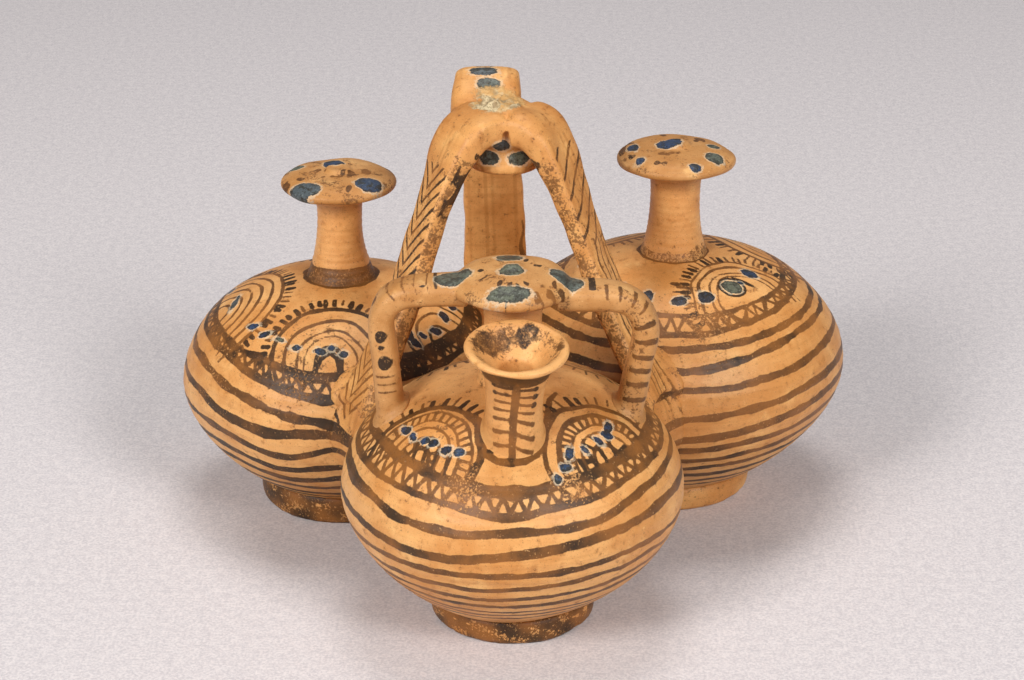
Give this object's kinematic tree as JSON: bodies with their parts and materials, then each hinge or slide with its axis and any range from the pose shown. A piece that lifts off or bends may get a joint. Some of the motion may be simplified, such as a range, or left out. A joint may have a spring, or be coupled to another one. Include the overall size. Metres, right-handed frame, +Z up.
{
  "type": "composite clay vessel",
  "caption": "Composite clay vessel: squat jars luted together under a legged basket handle, the front one a stirrup jar with an open spout, the rear ones with disc-topped closed necks.",
  "frame": {"origin": "on the ground under the middle of the plan's bounding box, with the feet on z = 0", "axes": "+Z up; -Y towards the front jar and its spout; +X towards the larger rear jar, right as seen from the spout's side"},
  "size_m": [0.2106, 0.1924, 0.1425],
  "materials": {
    "painted_clay": "matt orange-buff fired clay with worn brown bands, arcs and zigzags",
    "clay": "matt orange-buff fired clay",
    "spotted_clay": "matt orange-buff fired clay with blue-grey spots"
  },
  "bodies": {
    "root": {"front_jar_body": "painted_clay", "front_foot_ring": "painted_clay", "front_neck": "clay", "front_disc": "spotted_clay", "left_jar_body": "painted_clay", "left_foot_ring": "painted_clay", "left_neck": "clay", "left_disc": "spotted_clay", "right_jar_body": "painted_clay", "right_foot_ring": "clay", "right_neck": "clay", "right_disc": "spotted_clay", "spout": "clay", "stirrup_handle_left": "clay", "stirrup_handle_right": "clay", "hub_disc": "spotted_clay", "handle_leg_left": "painted_clay", "join_fillet_left": "clay", "handle_leg_right": "painted_clay", "join_fillet_right": "clay", "handle_leg_rear": "painted_clay", "join_fillet_rear": "clay"}
  },
  "joints": []
}
